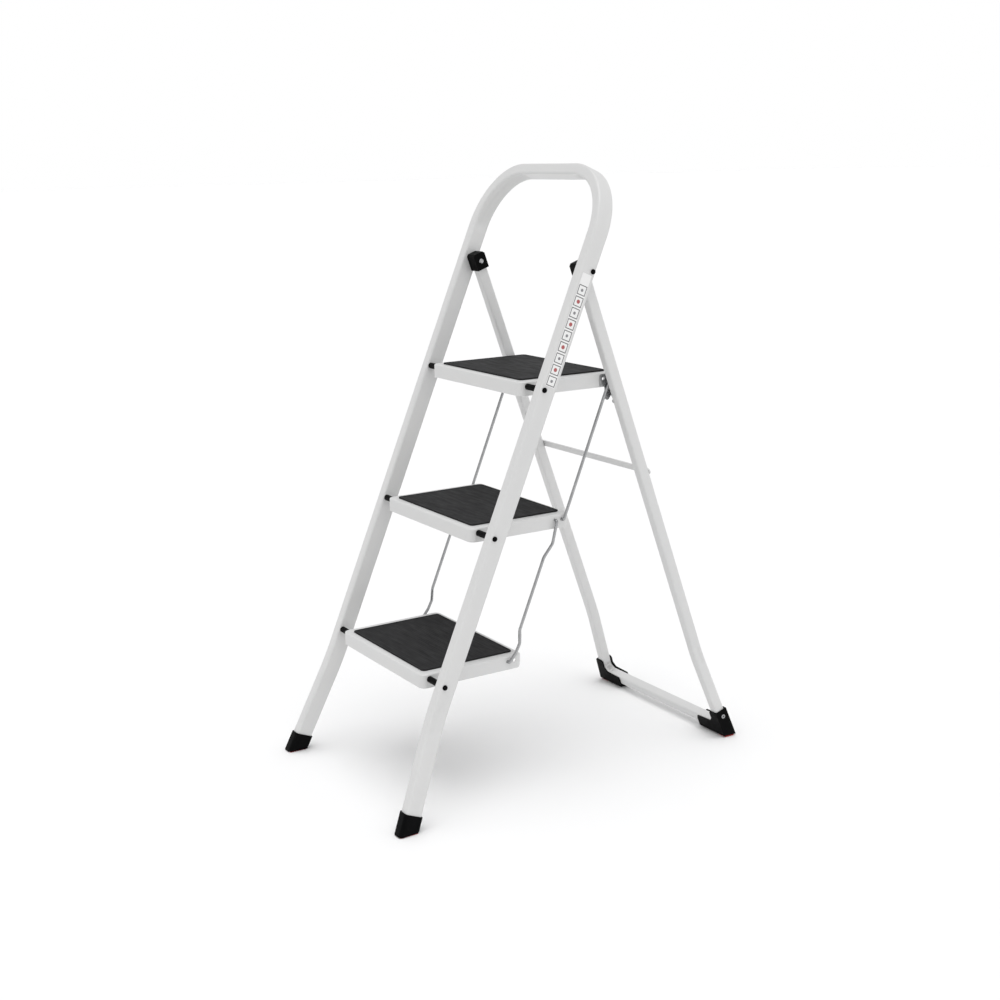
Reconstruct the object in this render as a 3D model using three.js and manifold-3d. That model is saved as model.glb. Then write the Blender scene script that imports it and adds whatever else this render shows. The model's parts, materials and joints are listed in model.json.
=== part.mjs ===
// Folding three-step ladder with a hoop handrail, shown open and standing on its four feet.
// Millimetres. +X is across the steps (the climber's right), -Y is the climbing side, +Z is up.
// The origin is on the floor, in the middle of the footprint.
import * as THREE from "three";
import { mergeVertices } from "three/addons/utils/BufferGeometryUtils.js";
import Module from "manifold-3d";

// ---- driving dimensions -------------------------------------------------------------------------------------------
const PITCH = 240; // vertical distance from one step pivot to the next
const PIVOT_Z = 472.2; // height of the middle step pivot above the floor
const FOOTPRINT_SHIFT = -161.4; // moves the middle of the footprint to y = 0
const FRONT_LEAN = THREE.MathUtils.degToRad(23.27); // front frame, from the vertical
const REAR_LEAN = THREE.MathUtils.degToRad(19.5); // rear frame, from the vertical

const STILE_W = 20, STILE_D = 32, STILE_R = 4.2, STILE_WALL = 1.5; // front tube: across, deep, corner, wall
const FRONT_HALF = 201.6; // outer face of a stile from the middle
const PIVOT_BACK = 8; // step pivots sit this far behind the stile's front face
const HOOP_TOP = 658, HOOP_R = 110; // top of the hoop along the stile, and its bend radius on the centreline
const FRONT_SPLAY = THREE.MathUtils.degToRad(8.2), FRONT_SPLAY_AT = -318, FRONT_SPLAY_R = 400;

const HINGE_S = 475.3, HINGE_N = 17; // rear frame hinge along the stile and behind the step pivots' line
const LEG_W = 18, LEG_D = 20, LEG_R = 3.4, LEG_WALL = 1.3; // rear tube: across, deep, corner, wall
const LEG_X = 168.5; // middle of a rear leg
const REAR_SPLAY = THREE.MathUtils.degToRad(7.2), REAR_SPLAY_AT = 783, REAR_SPLAY_R = 300;
const BAR_AT = 935, REAR_CORNER_R = 20; // bottom bar below the hinge, and its corner radius
const BRACE_AT = 390, BRACE_H = 12, BRACE_T = 3, BRACE_HALF = 176.5;
const PIN_AT = 235.4, PIN_D = 8; // support pins on the rear legs, which carry the top step

const TRAY_HALF = 150, TRAY_FRONT = -15, TRAY_REAR = 188, TRAY_TOP = 8.5, TRAY_BOTTOM = -16;
const TRAY_CORNER = 12, TRAY_WALL = 1.4, TRAY_REAR_FLANGE = -7;
const MAT_HALF = 132.5, MAT_FRONT = -3, MAT_REAR = 178, MAT_T = 2.5, MAT_CORNER = 7;
const TIE_REAR = [171, -1], TIE_FRONT = [157, -1]; // tie rod holes in a tray's sides, from its pivot
const ROD_D = 6, SLEEVE_D = 11, CAP_D = 9, TIE_D = 5.4, TIE_X = 156;
const BOOT_BOTTOM = 1.4, FOOT_BOTTOM = 3.2; // undersides of the front and rear feet above the floor
const GAP = 0.3;

// ---- helpers ------------------------------------------------------------------------------------------------------
const wasm = await Module();
wasm.setup();
const V = (x, y, z) => new THREE.Vector3(x, y, z);

function solid(geometry) {
  const g = geometry.index ? geometry.toNonIndexed() : geometry;
  const bare = new THREE.BufferGeometry().setAttribute("position", g.getAttribute("position"));
  const m = mergeVertices(bare, 1e-4);
  const tri = new Uint32Array(m.index.array);
  const make = () => new wasm.Manifold(new wasm.Mesh({ numProp: 3, vertProperties: m.attributes.position.array, triVerts: tri }));
  let s = make();
  if (s.volume() < 0) {
    for (let i = 0; i < tri.length; i += 3) [tri[i + 1], tri[i + 2]] = [tri[i + 2], tri[i + 1]];
    s = make();
  }
  return s;
}

function toGeometry(s) {
  const m = s.getMesh(), n = m.numProp, p = new Float32Array(m.numVert * 3);
  for (let i = 0; i < m.numVert; i++) p.set(m.vertProperties.subarray(i * n, i * n + 3), i * 3);
  const g = new THREE.BufferGeometry();
  g.setAttribute("position", new THREE.BufferAttribute(p, 3));
  g.setIndex(new THREE.BufferAttribute(new Uint32Array(m.triVerts), 1));
  return g;
}

// A path that stops at each of the given points in turn, turning half-way at every corner.
class Stops extends THREE.Curve {
  constructor(points) {
    super();
    this.points = points;
  }
  index(u) {
    return Math.round(u * (this.points.length - 1));
  }
  getPoint(t) {
    return this.points[this.index(t)].clone();
  }
  getPointAt(u) {
    return this.getPoint(u);
  }
  getTangent(t) {
    const i = this.index(t), p = this.points, n = p.length - 1;
    const a = p[Math.max(i, 1)].clone().sub(p[Math.max(i, 1) - 1]).normalize();
    const b = p[Math.min(i, n - 1) + 1].clone().sub(p[Math.min(i, n - 1)]).normalize();
    return a.add(b).normalize();
  }
  getTangentAt(u) {
    return this.getTangent(u);
  }
}

// A section carried along a path of points.
function along(points, section) {
  const shape = new THREE.Shape(section.map(([u, v]) => new THREE.Vector2(u, v)));
  return new THREE.ExtrudeGeometry(shape, { steps: points.length - 1, extrudePath: new Stops(points) });
}

function roundedRect(w, d, r, k = 2) {
  const out = [];
  for (const [cx, cy, a0] of [[w / 2 - r, d / 2 - r, 0], [-w / 2 + r, d / 2 - r, 90], [-w / 2 + r, -d / 2 + r, 180], [w / 2 - r, -d / 2 + r, 270]])
    for (let i = 0; i <= k; i++) {
      const a = THREE.MathUtils.degToRad(a0 + (90 * i) / k);
      out.push([cx + r * Math.cos(a), cy + r * Math.sin(a)]);
    }
  return out;
}

// A section (across, deep) along a path of [x, z] points that lies in the plane y = deep.
const sweepFlat = (path, section, deep) => along(path.map(([x, z]) => V(x, deep, z)), section.map(([u, v]) => [v, u]));

// A round wire along a 3-D path.
function wire(points, dia, sides = 8) {
  const ring = [];
  for (let j = 0; j < sides; j++) ring.push([(dia / 2) * Math.cos((2 * Math.PI * j) / sides), (dia / 2) * Math.sin((2 * Math.PI * j) / sides)]);
  return along(points, ring);
}

// Rounds the corners of a 3-D polyline.
function filleted(points, radius, k = 3) {
  const out = [points[0]];
  for (let i = 1; i + 1 < points.length; i++) {
    const p = points[i], a = points[i - 1].clone().sub(p), b = points[i + 1].clone().sub(p);
    const r = Math.min(radius, a.length() * 0.45, b.length() * 0.45);
    const s = p.clone().addScaledVector(a.normalize(), r), e = p.clone().addScaledVector(b.normalize(), r);
    for (let j = 0; j <= k; j++) {
      const t = j / k;
      out.push(V(0, 0, 0).addScaledVector(s, (1 - t) ** 2).addScaledVector(p, 2 * t * (1 - t)).addScaledVector(e, t * t));
    }
  }
  out.push(points[points.length - 1]);
  return out;
}

function arc(cx, cz, r, a0, a1, n) {
  const out = [];
  for (let i = 0; i <= n; i++) {
    const a = a0 + ((a1 - a0) * i) / n;
    out.push([cx + r * Math.cos(a), cz + r * Math.sin(a)]);
  }
  return out;
}

const box = (x0, x1, y0, y1, z0, z1) => new THREE.BoxGeometry(x1 - x0, y1 - y0, z1 - z0).translate((x0 + x1) / 2, (y0 + y1) / 2, (z0 + z1) / 2);
// A round bar along X.
const barX = (x0, x1, r, y, z, sides = 14) => new THREE.CylinderGeometry(r, r, x1 - x0, sides).rotateZ(-Math.PI / 2).translate((x0 + x1) / 2, y, z);
// A turned piece along X, from [distance along X, radius] points that start and end on the axis.
function turnedX(profile, y, z, toward = 1, sides = 12) {
  const g = new THREE.LatheGeometry(profile.map(([x, r]) => new THREE.Vector2(r, x)), sides).rotateZ(-Math.PI / 2);
  if (toward < 0) g.rotateY(Math.PI);
  return g.translate(0, y, z);
}
// A flat plate from a [y, z] outline, between two x values.
function plateX(outline, x0, x1) {
  const shape = new THREE.Shape(outline.map(([y, z]) => new THREE.Vector2(y, z)));
  return new THREE.ExtrudeGeometry(shape, { depth: x1 - x0, bevelEnabled: false })
    .applyMatrix4(new THREE.Matrix4().makeBasis(V(0, 1, 0), V(0, 0, 1), V(1, 0, 0)))
    .translate(x0, 0, 0);
}
function roundedShape(x0, x1, y0, y1, rf, rr) {
  const s = new THREE.Shape();
  s.moveTo(x0 + rf, y0);
  s.lineTo(x1 - rf, y0);
  s.absarc(x1 - rf, y0 + rf, rf, -Math.PI / 2, 0, false);
  s.lineTo(x1, y1 - rr);
  s.absarc(x1 - rr, y1 - rr, rr, 0, Math.PI / 2, false);
  s.lineTo(x0 + rr, y1);
  s.absarc(x0 + rr, y1 - rr, rr, Math.PI / 2, Math.PI, false);
  s.lineTo(x0, y0 + rf);
  s.absarc(x0 + rf, y0 + rf, rf, Math.PI, 1.5 * Math.PI, false);
  return s;
}

// Frames: the front frame's (x, n behind the pivot line, s up the stile), the rear frame's (x, n, u up the leg from the hinge).
const frontFrame = new THREE.Matrix4().makeRotationX(-FRONT_LEAN);
const stile = (x, n, s) => V(x, n, s).applyMatrix4(frontFrame);
const HINGE = stile(0, HINGE_N, HINGE_S);
const rearFrame = new THREE.Matrix4().makeTranslation(0, HINGE.y, HINGE.z).multiply(new THREE.Matrix4().makeRotationX(REAR_LEAN));
const leg = (x, n, d) => V(x, n, -d).applyMatrix4(rearFrame);
const FLOOR = -PIVOT_Z;
const pivotOf = { top: [PITCH * Math.tan(FRONT_LEAN), PITCH], middle: [0, 0], bottom: [-PITCH * Math.tan(FRONT_LEAN), -PITCH] };
const inFront = (g) => solid(g.clone().applyMatrix4(frontFrame));
const inRear = (g) => solid(g.clone().applyMatrix4(rearFrame));
const below = (z) => solid(box(-400, 400, -600, 900, FLOOR - 200, z));
const mirrorX = (s) => s.mirror([1, 0, 0]);

// ---- materials ----------------------------------------------------------------------------------------------------
const paint = new THREE.MeshStandardMaterial({ name: "white powder coat", color: 0xe4e4e2, roughness: 0.32, metalness: 0 });
const plastic = new THREE.MeshStandardMaterial({ name: "black plastic", color: 0x141414, roughness: 0.5, metalness: 0 });
const rubber = new THREE.MeshStandardMaterial({ name: "charcoal mat", color: 0x343537, roughness: 0.8, metalness: 0 });
const zinc = new THREE.MeshStandardMaterial({ name: "zinc plated steel", color: 0xb4b7ba, roughness: 0.28, metalness: 1 });
const red = new THREE.MeshStandardMaterial({ name: "red rubber", color: 0xa51d1a, roughness: 0.7, metalness: 0 });
const sticker = new THREE.MeshStandardMaterial({ name: "sticker", color: 0xf2f2f0, roughness: 0.45, metalness: 0 });

const root = new THREE.Group();
root.name = "step_ladder";
function add(name, s, material) {
  const g = toGeometry(s).translate(0, FOOTPRINT_SHIFT, PIVOT_Z);
  g.computeVertexNormals();
  const m = new THREE.Mesh(g, material);
  m.name = name;
  root.add(m);
}
function pair(name, s, material) {
  add(name + "_right", s, material);
  add(name + "_left", mirrorX(s), material);
}

// ---- front frame: one tube bent into a hoop, with splayed feet ----------------------------------------------------
const stileX = FRONT_HALF - STILE_W / 2, hoopS = HOOP_TOP - STILE_W / 2;
const splayHalf = (FRONT_SPLAY_R * FRONT_SPLAY) / 2;
function frontPath(end) {
  const right = [];
  const footLen = -end + FRONT_SPLAY_AT;
  right.push([stileX + footLen * Math.tan(FRONT_SPLAY), end]);
  const c = stileX + FRONT_SPLAY_R, top = FRONT_SPLAY_AT + splayHalf;
  for (let i = 0; i <= 4; i++) {
    const a = FRONT_SPLAY * (1 - i / 4);
    right.push([c - FRONT_SPLAY_R * Math.cos(a), top - FRONT_SPLAY_R * Math.sin(a)]);
  }
  right.push(...arc(stileX - HOOP_R, hoopS - HOOP_R, HOOP_R, 0, Math.PI / 2, 12));
  return [...right, ...right.slice().reverse().map(([x, s]) => [-x, s])];
}
const tubeN = STILE_D / 2 - PIVOT_BACK;
const frontOuter = (grow, end) => inFront(sweepFlat(frontPath(end), roundedRect(STILE_W + grow, STILE_D + grow, STILE_R + grow / 2), tubeN));
let frontTube = frontOuter(0, -540).subtract(frontOuter(-2 * STILE_WALL, -545));
frontTube = frontTube.subtract(below(FLOOR + 4.3));
for (const [y, z] of Object.values(pivotOf)) frontTube = frontTube.subtract(solid(barX(-230, 230, ROD_D / 2 + 0.3, y, z)));
frontTube = frontTube.subtract(solid(barX(-230, 230, 3.3, HINGE.y, HINGE.z)));
add("front_frame_tube", frontTube, paint);

// Boots on the splayed ends, cut level, each with a rubber pad let into its sole.
function legBlock(growX, growN, s0, s1, r) {
  // a straight block round the right splayed end, between two distances along the stile
  const at = (s) => [stileX + (FRONT_SPLAY_AT - s) * Math.tan(FRONT_SPLAY), s];
  return inFront(sweepFlat([at(s0), at(s1)], roundedRect(STILE_W + growX, STILE_D + growN, r), tubeN));
}
let boot = legBlock(5, 4.4, -540, -477, STILE_R + 2.2).subtract(below(FLOOR + BOOT_BOTTOM));
const bootPocket = legBlock(2 * GAP, 2 * GAP, -540, -470, STILE_R + GAP).subtract(below(FLOOR + 4));
boot = boot.subtract(bootPocket);

// A rubber sole: a toothed pad under the foot, with a plug that sits in the foot's pocket.
function toothedPad(cx, cy, lx, ly, h, valley, teeth) {
  const pts = [[-ly / 2, h], [-ly / 2, valley]];
  for (let i = 0; i < teeth; i++) {
    const y0 = -ly / 2 + (ly * i) / teeth, w = ly / teeth;
    pts.push([y0 + w * 0.2, 0], [y0 + w * 0.6, 0], [y0 + w * 0.8, valley]);
    if (i < teeth - 1) pts.push([y0 + w, valley]);
  }
  pts.push([ly / 2, valley], [ly / 2, h]);
  return solid(plateX(pts, -lx / 2, lx / 2)).translate([cx, cy, FLOOR]);
}
const plug = ([cx, cy], lx, ly, z0, z1) => solid(box(cx - lx / 2, cx + lx / 2, cy - ly / 2, cy + ly / 2, FLOOR + z0, FLOOR + z1));
const frontSoleAt = [219.3, -194.3];
boot = boot.subtract(plug(frontSoleAt, 14 + 2 * GAP, 24 + 2 * GAP, -5, 3));
pair("front_foot", boot, plastic);
pair("front_sole", toothedPad(...frontSoleAt, 21, 33, BOOT_BOTTOM - GAP, 0.6, 7).add(plug(frontSoleAt, 14, 24, 0.8, 3 - GAP)), red);

// Pivot rods with their sleeves and end caps.
for (const [step, [y, z]] of Object.entries(pivotOf)) {
  add("pivot_rod_" + step, solid(barX(-FRONT_HALF - 1.2, FRONT_HALF + 1.2, ROD_D / 2, y, z)), zinc);
  const sleeve = solid(barX(TRAY_HALF + GAP, FRONT_HALF - STILE_W - GAP, SLEEVE_D / 2, y, z, 16)).subtract(solid(barX(100, 230, ROD_D / 2 + GAP, y, z)));
  pair("spacer_" + step, sleeve, plastic);
  const cap = solid(turnedX([[0, 0], [0, CAP_D / 2], [1.2, CAP_D / 2], [2.3, CAP_D / 2 - 0.8], [3.1, CAP_D / 2 - 2.4], [3.3, 0]], y, z)).translate([FRONT_HALF + GAP, 0, 0])
    .subtract(solid(barX(150, FRONT_HALF + 1.5, ROD_D / 2 + 0.2, y, z)));
  pair("rod_cap_" + step, cap, plastic);
}

// Hinge bolts of the rear frame, with a round head inside the leg cap and a plastic cap on the outer face.
const capIn = LEG_X - 13, capOut = FRONT_HALF - STILE_W - GAP;
pair("hinge_bolt", solid(barX(capIn - GAP, FRONT_HALF + 1.2, 3, HINGE.y, HINGE.z)).add(solid(turnedX([[0, 0], [0, 4.6], [-0.9, 4.4], [-1.8, 3], [-2.1, 0]], HINGE.y, HINGE.z)).translate([capIn - GAP, 0, 0])), zinc);
pair("hinge_cap", solid(turnedX([[0, 0], [0, 4.4], [1.2, 4.4], [2.3, 3.6], [3.1, 2], [3.3, 0]], HINGE.y, HINGE.z)).translate([FRONT_HALF + GAP, 0, 0]).subtract(solid(barX(150, FRONT_HALF + 1.5, 3.2, HINGE.y, HINGE.z))), plastic);

// A plain sticker on the right stile's outer face.
add("label_strip", inFront(box(FRONT_HALF + 0.1, FRONT_HALF + 0.5, -1.5, 17.5, 269.5, 468)), sticker);

// ---- steps: a pressed tray with turned-down sides, and a mat ------------------------------------------------------
function tray() {
  const bevel = 3;
  const outerShape = roundedShape(-TRAY_HALF + bevel, TRAY_HALF - bevel, TRAY_FRONT + bevel, TRAY_REAR - bevel, TRAY_CORNER - bevel, TRAY_CORNER - bevel);
  const opts = (top) => ({ depth: top - bevel - (TRAY_BOTTOM - 10), bevelEnabled: true, bevelThickness: bevel, bevelSize: bevel, bevelSegments: 2, curveSegments: 4 });
  let s = solid(new THREE.ExtrudeGeometry(outerShape, opts(TRAY_TOP)).translate(0, 0, TRAY_BOTTOM - 10));
  const w = TRAY_WALL, b2 = 1.6;
  const innerShape = roundedShape(-TRAY_HALF + w + b2, TRAY_HALF - w - b2, TRAY_FRONT + w + b2, TRAY_REAR - w - b2, TRAY_CORNER - w - b2, TRAY_CORNER - w - b2);
  const inner = new THREE.ExtrudeGeometry(innerShape, { depth: TRAY_TOP - w - b2 - (TRAY_BOTTOM - 20), bevelEnabled: true, bevelThickness: b2, bevelSize: b2, bevelSegments: 1, curveSegments: 4 }).translate(0, 0, TRAY_BOTTOM - 20);
  s = s.subtract(solid(inner)).subtract(solid(box(-200, 200, -60, 260, TRAY_BOTTOM - 40, TRAY_BOTTOM)));
  // the sides' rear corners are rounded off below, and the rear flange is shallow
  const rc = 8, cut = [[TRAY_REAR + 20, TRAY_BOTTOM - 5], [TRAY_REAR + 20, TRAY_REAR_FLANGE], [TRAY_REAR - 4, TRAY_REAR_FLANGE]];
  for (let i = 0; i <= 6; i++) {
    const a = -(Math.PI / 2) * (i / 6);
    cut.push([TRAY_REAR - 4 - rc + rc * Math.cos(a), TRAY_REAR_FLANGE - (TRAY_REAR_FLANGE - TRAY_BOTTOM - rc) + rc * Math.sin(a)]);
  }
  cut.push([TRAY_REAR - 4 - rc, TRAY_BOTTOM - 5]);
  s = s.subtract(solid(plateX(cut, -200, 200)));
  s = s.subtract(solid(barX(-200, 200, ROD_D / 2 + GAP, 0, 0)));
  for (const [y, z] of [TIE_REAR, TIE_FRONT]) s = s.subtract(solid(barX(-200, 200, TIE_D / 2 + GAP, y, z, 12)));
  return s;
}
const mat = solid(new THREE.ExtrudeGeometry(roundedShape(-MAT_HALF + 0.6, MAT_HALF - 0.6, MAT_FRONT + 0.6, MAT_REAR - 0.6, MAT_CORNER - 0.6, MAT_CORNER - 0.6), { depth: MAT_T - 1.2, bevelEnabled: true, bevelThickness: 0.6, bevelSize: 0.6, bevelSegments: 1, curveSegments: 4 }).translate(0, 0, TRAY_TOP + 0.1 + 0.6));
const trayBody = tray();
for (const [step, [y, z]] of Object.entries(pivotOf)) {
  add(step + "_step_tray", trayBody.translate([0, y, z]), paint);
  add(step + "_step_mat", mat.translate([0, y, z]), rubber);
}

// Hooks on the top tray: a slot open downwards and forwards takes the rear leg's support pin.
const pin = leg(0, 0, PIN_AT), py = pin.y - pivotOf.top[0], pz = pin.z - pivotOf.top[1];
const dir = [-0.608, -0.794], nor = [-0.794, 0.608], sr = PIN_D / 2 + 0.6;
const slotPoint = (along, across) => [py + dir[0] * along + nor[0] * across, pz + dir[1] * along + nor[1] * across];
const hook = [[150, -14], [150, 4], [153, 7], [185, 7], [190, 2], [192.5, -28], [192, -36], slotPoint(10, -sr - 7), slotPoint(11, -sr - 2.5), slotPoint(8.5, -sr)];
for (let i = 0; i <= 8; i++) {
  const a = -Math.PI / 2 + (Math.PI * i) / 8;
  hook.push(slotPoint(-sr * Math.cos(a), sr * Math.sin(a)));
}
hook.push(slotPoint(8.3, sr));
for (let i = 0; i <= 5; i++) {
  const a = (-Math.PI / 6) - ((Math.PI * 5) / 6) * (i / 5);
  hook.push([165.3 + 5 * Math.cos(a), -34.2 + 5 * Math.sin(a)]);
}
hook.push([160.3, -18], [157, -14]);
const hookPlate = solid(plateX(hook.slice().reverse(), TRAY_HALF + GAP, TRAY_HALF + GAP + 2.5))
  .subtract(solid(barX(100, 200, TIE_D / 2 + 1, TIE_REAR[0], TIE_REAR[1], 16)))
  .subtract(solid(barX(100, 200, TIE_D / 2 + GAP, TIE_FRONT[0], TIE_FRONT[1], 16)));
pair("top_step_hook", hookPlate.translate([0, ...pivotOf.top]), zinc);

// ---- tie rods: hooked into the trays' sides, parallel to the stiles ------------------------------------------------
function tie(from, to, hole, bends) {
  const a = V(TIE_X, from[0] + hole[0], from[1] + hole[1]), b = V(TIE_X, to[0] + hole[0], to[1] + hole[1]);
  const d = b.clone().sub(a), len = d.length();
  d.normalize();
  const n = V(0, -d.z, d.y).multiplyScalar(-1); // towards the rear
  if (n.y < 0) n.negate();
  const at = ([along, off, dx]) => a.clone().addScaledVector(d, along < 0 ? len + along : along).addScaledVector(n, off).add(V(dx, 0, 0));
  const inside = V(-(TIE_X - TRAY_HALF + 6), 0, 0);
  return solid(wire(filleted([a.clone().add(inside), a, ...bends.map(at), b, b.clone().add(inside)], 3.6), TIE_D));
}
pair("upper_tie_rod", tie(pivotOf.top, pivotOf.middle, TIE_REAR, [[26, -2, 0], [-14, 0, 0]]), zinc);
pair("lower_tie_rod", tie(pivotOf.middle, pivotOf.bottom, TIE_FRONT, [[40, 6.5, 0], [68, -1, -1.5], [-60, -0.5, -1.5], [-38, 7.5, 0], [-20, 6, 0]]), zinc);

// ---- rear frame: one tube bent into a U, with its legs splayed below ------------------------------------------------
function rearPath(top) {
  const half = (REAR_SPLAY_R * REAR_SPLAY) / 2;
  const right = [[LEG_X, -top]];
  const c = LEG_X + REAR_SPLAY_R;
  for (let i = 0; i <= 3; i++) {
    const a = (REAR_SPLAY * i) / 3;
    right.push([c - REAR_SPLAY_R * Math.cos(a), -(REAR_SPLAY_AT - half) - REAR_SPLAY_R * Math.sin(a)]);
  }
  const cornerX = LEG_X + (BAR_AT - REAR_SPLAY_AT) * Math.tan(REAR_SPLAY); // where leg and bar centrelines meet
  const turn = Math.PI / 2 + REAR_SPLAY, back = REAR_CORNER_R * Math.tan(turn / 2);
  const cx = cornerX - back, cz = -BAR_AT + REAR_CORNER_R;
  for (let i = 0; i <= 7; i++) {
    const a = REAR_SPLAY - (turn * i) / 7;
    right.push([cx + REAR_CORNER_R * Math.cos(a), cz + REAR_CORNER_R * Math.sin(a)]);
  }
  return [...right, ...right.slice().reverse().map(([x, u]) => [-x, u])];
}
const rearOuter = (grow, top) => inRear(sweepFlat(rearPath(top), roundedRect(LEG_W + grow, LEG_D + grow, LEG_R + grow / 2), 0));
let rearTube = rearOuter(0, -10).subtract(rearOuter(-2 * LEG_WALL, -14));
rearTube = rearTube.subtract(solid(barX(-230, 230, 3.3, HINGE.y, HINGE.z)));
for (const side of [1, -1]) {
  rearTube = rearTube.subtract(solid(barX(side > 0 ? 150 : -LEG_X, side > 0 ? LEG_X : -150, PIN_D / 2 + GAP, pin.y, pin.z)));
  rearTube = rearTube.subtract(inRear(new THREE.CylinderGeometry(2.7, 2.7, 30, 12).translate(side * LEG_X, 15, -BRACE_AT)));
}
const outerAt = (d) => LEG_X + LEG_W / 2 + (d - REAR_SPLAY_AT) * Math.tan(REAR_SPLAY) + 2.9;
const RIVET_AT = 912, rx = outerAt(RIVET_AT) + GAP;
const rivetHole = inRear(barX(-14, 30, 2.5, 0, 0, 16).rotateY(-REAR_SPLAY).translate(rx, 0, -RIVET_AT));
rearTube = rearTube.subtract(rivetHole).subtract(mirrorX(rivetHole));
add("rear_frame_tube", rearTube, paint);

// Plastic caps over the legs' upper ends, between leg and stile.
const capShape = [[-12.2, 12.5], [-8.5, 16], [8.5, 16], [12.2, 12.5], [12.2, -15.5], [-12.2, -15.5]];
let legCap = inRear(plateX(capShape.slice().reverse(), capIn, capOut));
legCap = legCap.subtract(inRear(box(LEG_X - LEG_W / 2 - GAP, LEG_X + LEG_W / 2 + GAP, -LEG_D / 2 - GAP, LEG_D / 2 + GAP, -40, 10 + GAP)));
legCap = legCap.subtract(solid(barX(100, 230, 3.3, HINGE.y, HINGE.z)));
pair("rear_leg_cap", legCap, plastic);

// Flat brace across the legs' rear faces, and its rivets.
const braceN = LEG_D / 2 + GAP;
const strip = new THREE.ExtrudeGeometry(roundedShape(-BRACE_HALF, BRACE_HALF, -BRACE_H / 2, BRACE_H / 2, 5, 5), { depth: BRACE_T, bevelEnabled: false, curveSegments: 3 })
  .applyMatrix4(new THREE.Matrix4().makeBasis(V(-1, 0, 0), V(0, 0, 1), V(0, 1, 0)))
  .translate(0, braceN, -BRACE_AT);
let brace = inRear(strip);
for (const side of [1, -1]) brace = brace.subtract(inRear(new THREE.CylinderGeometry(2.7, 2.7, 30, 12).translate(side * LEG_X, 15, -BRACE_AT)));
add("rear_brace", brace, paint);
const rivet = new THREE.LatheGeometry([[0, 4], [2.4, 4], [2.4, 13.5], [5, 13.5], [4.6, 14.6], [3, 15.7], [0, 16]].map(([r, n]) => new THREE.Vector2(r, n)), 12).translate(LEG_X, 0, -BRACE_AT);
pair("brace_rivet", inRear(rivet), zinc);

// Support pins, fixed through the legs' inner faces.
pair("support_pin", solid(barX(TRAY_HALF + 0.5, LEG_X - 1, PIN_D / 2, pin.y, pin.z, 14)).add(solid(barX(LEG_X - LEG_W / 2 - GAP - 2.5, LEG_X - LEG_W / 2 - GAP, 4.8, pin.y, pin.z, 14))), zinc);

// Corner feet: an L-shaped shell round each bend, open above, with a level sole.
const innerAt = (d) => LEG_X + (d - REAR_SPLAY_AT) * Math.tan(REAR_SPLAY) - 10.5;
const footTop = 900, elbow = BAR_AT - 10;
const lShape = new THREE.Shape([[innerAt(footTop + 4), -footTop - 4], [innerAt(footTop) + 4, -footTop], [outerAt(footTop), -footTop], [outerAt(985), -985], [131, -985], [127, -elbow - 8], [129, -elbow - 2], [innerAt(elbow - 6) - 8, -elbow], [innerAt(elbow - 10), -elbow + 9]].map(([x, u]) => new THREE.Vector2(x, u)));
const shell = new THREE.ExtrudeGeometry(lShape, { depth: LEG_D + 5.8, bevelEnabled: false }).applyMatrix4(new THREE.Matrix4().makeBasis(V(1, 0, 0), V(0, 0, 1), V(0, -1, 0))).translate(0, LEG_D / 2 + 2.9, 0);
let foot = inRear(shell).subtract(below(FLOOR + FOOT_BOTTOM)).subtract(rearOuter(2 * GAP, -10));
foot = foot.subtract(inRear(box(100, 182.5, -LEG_D / 2 - GAP, LEG_D / 2 + GAP, -BAR_AT, -880))).subtract(inRear(box(100, 172, -LEG_D / 2 - GAP, LEG_D / 2 + GAP, -BAR_AT, -880)));
const rearSoleAt = [190.5, leg(0, 0, 957).y - 0.8];
foot = foot.subtract(plug(rearSoleAt, 13 + 2 * GAP, 14 + 2 * GAP, -5, 6));
foot = foot.subtract(rivetHole);
pair("rear_foot", foot, plastic);
pair("rear_sole", toothedPad(...rearSoleAt, 20, 22, FOOT_BOTTOM - GAP, 1.6, 4).add(plug(rearSoleAt, 13, 14, 2, 6 - GAP)), red);
pair("rear_foot_rivet", inRear(turnedX([[-9, 0], [-9, 2.2], [0, 2.2], [0, 4.2], [0.8, 4], [1.3, 3], [1.3, 1.6], [0.2, 1.6], [0.2, 0]], 0, 0).rotateY(-REAR_SPLAY).translate(rx, 0, -RIVET_AT)), zinc);

export default root;
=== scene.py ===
import json
import math

import bmesh
import bpy
from mathutils import Matrix, Vector

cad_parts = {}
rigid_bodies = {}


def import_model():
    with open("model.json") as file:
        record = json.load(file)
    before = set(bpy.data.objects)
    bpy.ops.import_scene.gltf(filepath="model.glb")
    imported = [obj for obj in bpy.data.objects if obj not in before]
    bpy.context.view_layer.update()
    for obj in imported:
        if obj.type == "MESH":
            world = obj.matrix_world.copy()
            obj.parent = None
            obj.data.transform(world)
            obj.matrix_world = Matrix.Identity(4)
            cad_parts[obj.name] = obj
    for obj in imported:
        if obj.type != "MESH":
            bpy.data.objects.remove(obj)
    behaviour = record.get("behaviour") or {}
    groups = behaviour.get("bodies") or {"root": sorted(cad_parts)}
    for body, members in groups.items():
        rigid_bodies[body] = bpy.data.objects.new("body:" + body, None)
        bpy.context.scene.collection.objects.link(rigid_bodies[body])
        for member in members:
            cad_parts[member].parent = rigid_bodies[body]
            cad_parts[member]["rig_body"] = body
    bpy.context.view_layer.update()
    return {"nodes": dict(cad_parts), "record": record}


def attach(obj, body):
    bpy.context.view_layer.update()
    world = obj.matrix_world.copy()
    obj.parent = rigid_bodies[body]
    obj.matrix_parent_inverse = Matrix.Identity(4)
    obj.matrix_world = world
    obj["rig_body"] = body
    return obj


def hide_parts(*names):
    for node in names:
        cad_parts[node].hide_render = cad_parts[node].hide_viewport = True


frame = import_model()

rad = math.radians

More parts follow.
